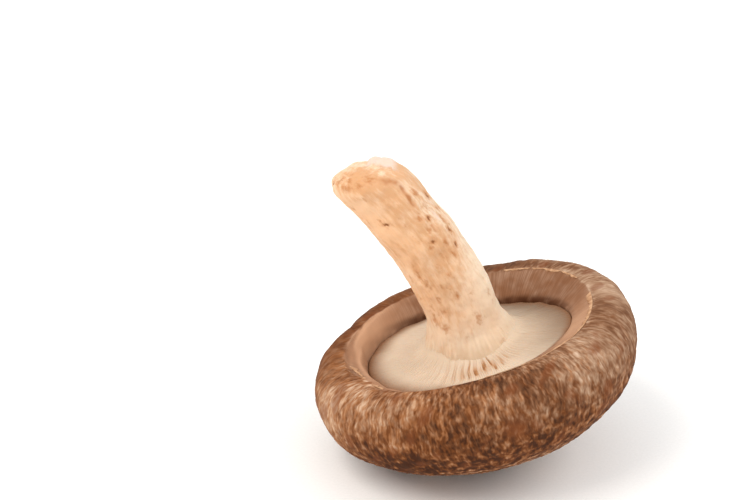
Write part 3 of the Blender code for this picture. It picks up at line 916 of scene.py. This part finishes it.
def mark(height, degrees, half_length, half_width):
    """1 in the middle of a mark, 0 outside it, with a ragged outline."""
    down = (height_grid - height + ragged) / half_length
    across = (turned(psi_grid, degrees) * STEM_RADIUS + ragged_across) / half_width
    return np.exp(-(down ** 2 + across ** 2))


def marked(table, grown_by=1):
    """The strongest mark of a table at each point."""
    total = np.zeros(psi_grid.shape)
    for height, degrees, length, width in table:
        total = np.maximum(total, mark(height, degrees, grown_by * length, grown_by * width))
    return total


ragged = 0.16 * unevenness(stem_points, 1.6, 31)
ragged_across = 0.16 * unevenness(stem_points, 1.6, 32)
pit, chip = marked(PITS), marked(WHITE_CHIPS)
stain = np.maximum(0.7 * marked(PITS, 2), 0.8 * marked(TAN_MARKS))
tan = 0.07 * unevenness(stem_points, 9.0, 34) + 0.05 * unevenness(stem_points, 2.6, 35)
for height, degrees, length, width, change in TAN_AREAS:
    tan += change * mark(height, degrees, length, width)
draw = np.random.default_rng(21)
for _ in range(STRAY_STAINS):
    stain = np.maximum(stain, draw.uniform(0.2, 0.6) * mark(
        draw.uniform(4, 44), draw.uniform(-180, 180), draw.uniform(0.4, 1.1),
        draw.uniform(0.3, 0.7)))
freckled = bell(height_grid - 31, 9) * bell(turned(psi_grid, 325), 0.5)
print(len(PITS), "pits and", len(TAN_MARKS) + STRAY_STAINS, "stains")

# %% [markdown]
# Strings are long and thin, and cross each other at small angles. The scrape is a curved tear
# under the cut end, as a line of overlapping soft dots that gets narrower downwards.

# %% Strings and the scrape
STRING_COUNT = 420
SCRAPE_DOTS = 90
SCRAPE = (                  # height and direction along it
    (44.2, -60), (43.8, -51), (42.9, -46), (41.8, -45), (40.4, -46.5), (39.0, -49.5), (37.6, -53),
)

strings = np.zeros(psi_grid.shape)
for _ in range(STRING_COUNT):
    height, degrees = draw.uniform(3, 45), draw.uniform(-180, 180)
    length, width = draw.uniform(2, 6), draw.uniform(0.2, 0.5)
    sideways = turned(psi_grid, degrees) * STEM_RADIUS
    sideways = sideways - draw.normal(0, 0.08) * (height_grid - height)
    lengthwise = np.clip(1 - ((height_grid - height) / length) ** 2, 0, 1)
    strings = np.maximum(strings, bell(sideways, width) * lengthwise)

scrape_heights, scrape_degrees = np.array(SCRAPE).T
scrape = np.zeros(psi_grid.shape)
for place in np.linspace(0, len(SCRAPE) - 1, SCRAPE_DOTS):
    height = np.interp(place, range(len(SCRAPE)), scrape_heights)
    degrees = np.interp(place, range(len(SCRAPE)), scrape_degrees)
    distance = np.hypot(height_grid - height, turned(psi_grid, degrees) * STEM_RADIUS)
    share = place / (len(SCRAPE) - 1)
    scrape = np.maximum(scrape, (0.68 + 0.3 * share) * bell(distance, 0.9 - 0.38 * share))
print("strings cover", round(float((strings > 0.3).mean()) * 100), "percent of the stem")

# %% [markdown]
# The butt is square-shouldered and brown on the left. On the right a piece has broken off, and
# the bare flesh there is nearly white. A small notch divides the two. The foot spreads in
# front, over the gills, and ribs run out on it where the gills join it.

# %% Stem relief
MIDDLE_HOLLOW = (34, 5, 0.6)        # height, length and depth, on the right side
FOOT_HOLLOW = (8, 4.5, 0.35)
SHOULDER = (42.5, 2.5, 0.4)         # height, length and rise, on the left side
FOOT_SPREAD = 0.5
FRONT_FOOT_SPREAD = 1.25
NOTCH_X = -11.2                     # across the cut end, in the cap's frame

ribs = 0.5 + 0.5 * np.cos(GILL_COUNT / 4 * psi_grid)
rib_share = np.clip(0.4 + 0.7 * unevenness(stem_points * (1, 1, 0.2), 2.4, 15), 0, 1)
flute = fade(9.0, 3.0, height_grid) * ribs * rib_share
x, y = stem_points[..., 0], stem_points[..., 1]
on_end = fade(43.2, 44.6, height_grid)
broken = (
    fade(-11.4, -10.7, x + ragged) * fade(43.6, 44.2, height_grid + ragged)
    * fade(-0.3, 0.3, y + 0.45 * (x + 10.2) + 0.3 + 2 * ragged_across) * fade(-4.3, -6.0, x)
)
notch = bell(x - NOTCH_X + ragged, 0.5) * on_end * fade(-2, 1, y)
right_side = fade(0.2, 0.9, np.cos(psi_grid))
lift = (
    0.22 * unevenness(stem_points, 14.0, 6)
    + 0.08 * unevenness(stem_points, 4.0, 7)
    + 0.02 * unevenness(stem_points, 1.4, 8)
    - 0.12
    + 0.05 * strings
    - 0.22 * pit
    - 0.03 * stain
    - 0.10 * scrape
    - MIDDLE_HOLLOW[2] * bell(height_grid - MIDDLE_HOLLOW[0], MIDDLE_HOLLOW[1]) * right_side
    + 0.15 * chip
    + 0.26 * flute
    + SHOULDER[2] * bell(height_grid - SHOULDER[0], SHOULDER[1])
    * fade(-0.2, -0.95, np.cos(psi_grid))
)
lift = lift * fade(-1, 4, height_grid) + FOOT_SPREAD * fade(9, 4, height_grid)
lift -= FOOT_HOLLOW[2] * right_side * bell(height_grid - FOOT_HOLLOW[0], FOOT_HOLLOW[1])
in_front = bell(turned(psi_grid, 278), 0.65)
lift += FRONT_FOOT_SPREAD * in_front * fade(6.5, 2.4, height_grid)
direction = round_axis(psi_grid, 1, 0 * psi_grid)
points = stem_points + direction * lift[..., None] * np.minimum(1, half_x / 5)[None, :, None]
points[..., 2] += (
    0.55 * broken * fade(-11.8, -9.4, x) - 0.3 * notch
    + 0.2 * on_end * unevenness(stem_points, 3.0, 9)
)
print("relief:", round(float(lift.min()), 2), "to", round(float(lift.max()), 2), "mm")

# %% [markdown]
# What is left is to say, at each point, how warm, stained, pitted, bare or grey the stem is.
# The warmth on the left is partly painted bounce light, the grey of the foot is painted shade,
# and the notch has a little painted shade.

# %% Stem object
brown_end = fade(42.6, 44.6, height_grid) * (1 - broken) * fade(-9, -11, x)
left_side = 0.5 - 0.5 * np.cos(psi_grid - math.radians(20))
narrowed = np.where(height_grid > BUTT_START, half_x[None] / half_x[STEM_ROWS], 1.0)
# warmer on the left: partly painted warm bounce light, and partly random warmth added below
warm = left_side * fade(2, 17, height_grid) * (1 - 0.6 * fade(40, 45, height_grid))
stained = stain * (1 - 0.25 * fade(43, 44, height_grid)) + 0.1 * brown_end + 0.25 * freckled
# painted shade on the foot, most in front, and less on the crests of the ribs
foot = fade(8.0, 3.5, height_grid + 2 * ragged) * (0.45 + 0.45 * in_front)
values = {
    "round_x": STEM_RADIUS * MM * np.cos(psi_grid) * narrowed,
    "round_y": STEM_RADIUS * MM * np.sin(psi_grid) * narrowed,
    "run": height_grid * MM,
    "warm": warm + 0.15 * unevenness(stem_points, 12.0, 33),
    "stain": stained * (1 - chip) * (1 - broken),
    "tan": tan + 0.1 * scrape,
    "scrape": np.clip(0.8 * scrape ** 1.3 * (1 + 3 * ragged_across), 0, 0.75),
    # the notch gets a faint painted shade, along with the real pits
    "pit": 0.85 * np.maximum(pit, 0.2 * notch) * (1 - broken),
    "cut": np.maximum(0.95 * broken, 0.8 * chip),
    "foot": foot * (1 - 0.5 * ribs * rib_share),
}
stem = grown("stem_skin", points, values, stem_flesh, "stem")

# %% [markdown]
# ## What is left of the veil
#
# A young cap is closed by a thin skin, the veil. When the cap opens, the veil tears, and scraps
# of it stay on the lip as a ragged, cream edge. It is a film, thinner than paper, that dries to
# a matt tan. Cloth could be draped, but a ribbon with a wavy width looks the same, cut away
# where the width drops to nothing. On the left it follows the tear further in.

# %% Veil remnant
veil_film, tree, shader = blank("torn_veil_film", Roughness=0.7, IOR=1.4)
shade = add(tree, "MapRange", SMOOTH, i0=grain(tree, 1.5), i1=0.35, i2=0.65)
shade = add(tree, "Mix", COLOURS, i0=shade, i6=linear("A97C58"), i7=linear("C99F7A"))
coat(tree, shader, shade, grain(tree, 0.4), 0.08)

VEIL_COLUMNS = 900
VEIL_SCRAPS = (      # from and to, in degrees round the cap, and how much is left
    (22, 70, 0.8), (-66, 6, 1.5), (-90, -64, 0.6), (-166, -132, 1.9), (100, 112, 0.5),
)
VEIL_WIDTH, VEIL_MOST, VEIL_LEAST = 0.68, 1.6, 0.12
VEIL_THICKNESS = 0.08
VEIL_SAG = ((0.0, 0.05), (0.5, 0.0), (1.0, 0.12))   # share of the way across, how far it sags
TEAR_AT, TEAR_IN = math.radians(210), 2.4

phi = 2 * math.pi * np.arange(VEIL_COLUMNS) / VEIL_COLUMNS
around = round_axis(phi, 26, 0 * phi)
width = VEIL_WIDTH + 0.2 * unevenness(around, 5.0, 11) + 0.26 * unevenness(around, 1.3, 12)
kept = np.zeros(VEIL_COLUMNS)
for start, stop, share in VEIL_SCRAPS:
    turn = np.degrees(phi) - start
    turn = turn - 360 * np.floor(turn / 360)
    kept = np.maximum(kept, share * fade(0, 3, turn) * fade(0, 3, stop - start - turn))
width = np.clip(width * kept, 0.0, VEIL_MOST)
hang = 0.15 * unevenness(around, 2.5, 13)
inward = TEAR_IN * bell(phi - TEAR_AT, 0.30)
lip, lip_height = ring(LIP_RADIUS, phi) - inward, ring(LIP_HEIGHT, phi) - 0.32 * inward
rows = []
for share, sag in VEIL_SAG:
    radius = lip + 0.25 - width * share * 0.8
    height = lip_height + 0.22 + hang * share - width * share * (0.25 + sag)
    rows.append(round_axis(phi, radius, height))
film = lay_down(np.stack(rows, axis=1))
faces = []
for column in range(VEIL_COLUMNS):
    following = (column + 1) % VEIL_COLUMNS
    if width[column] > VEIL_LEAST and width[following] > VEIL_LEAST:
        for row in range(2):
            faces.append((3 * column + row, 3 * following + row,
                          3 * following + row + 1, 3 * column + row + 1))
veil = made("veil_remnant", film.reshape(-1, 3).tolist(), faces, veil_film)
veil.data.shade_smooth()
thicken = veil.modifiers.new("thickness", "SOLIDIFY")
thicken.thickness = VEIL_THICKNESS * MM
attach(veil, "root")
print("veil film on", round(len(faces) / 2 / VEIL_COLUMNS * 100), "percent of the lip")

# %% [markdown]
# ## Table and light
#
# Food for a catalogue is shot on a white sheet under large soft lights. One large panel on the
# left models the forms. A weaker one on the right opens the shadows, and a white sky stands
# for the pale room. The sheet is matt uncoated paper. Its tooth is drawn coarser than real.

# %% White sheet
SHEET_REACH = 1.6
SHEET_GAP = 0.00002         # it lies a hair below the mushroom
TOOTH_MM = 0.6

paper, tree, shader = blank("matt_white_paper", Roughness=0.9, IOR=1.45)
tooth = add(
    tree, "MapRange", SMOOTH, i0=grain(tree, TOOTH_MM, detail=2.0), i1=0.3, i2=0.7)
white = add(tree, "Mix", COLOURS, i0=tooth, i6=linear("F8F8F7"), i7=linear("FCFCFB"))
coat(tree, shader, white, grain(tree, TOOTH_MM, detail=2.0), 0.01)
corners = [(SHEET_REACH * x, SHEET_REACH * y, 0) for x, y in ((-1, -1), (1, -1), (1, 1), (-1, 1))]
sheet = made("white_sheet", corners, [(0, 1, 2, 3)], paper)
sheet.location.z = -SHEET_GAP
sheet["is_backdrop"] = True
print("sheet:", 2 * SHEET_REACH, "m wide")


# %% Lights
def panel(name, place, size, power, colour):
    """A square soft light that faces the mushroom: place and size in metres, power in watts."""
    data = bpy.data.lights.new(name, "AREA")
    data.size = size
    data.energy = power
    data.color = linear(colour)[:3]
    light = bpy.data.objects.new(name, data)
    light.location = place
    light.rotation_euler = (origin - Vector(place)).to_track_quat("-Z", "Y").to_euler()
    bpy.context.scene.collection.objects.link(light)


panel("key_panel", (-0.5, -0.3, 0.75), 0.6, 5.5, "FFF8F0")
panel("fill_panel", (0.65, 0.0, 0.6), 0.6, 3.0, "FFFFFF")

SKY_STRENGTH = 0.85
world = bpy.data.worlds.new("pale_room")
world.use_nodes = True
sky = world.node_tree.nodes["Background"]
sky.inputs["Color"].default_value = linear("FFFFFF")
sky.inputs["Strength"].default_value = SKY_STRENGTH
bpy.context.scene.world = world
bpy.context.scene.view_settings.view_transform = "Standard"
print("lights:", [light.name for light in bpy.data.lights])

# %% [markdown]
# ## The size at the end
#
# The dressed mushroom has to keep the size of the solids. Both boxes are written down, so that
# they can be compared.

# %% Sizes
low, high = [list(corner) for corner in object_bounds()]
print("dressed size in mm:", [round((b - a) * 1000, 1) for a, b in zip(low, high)])
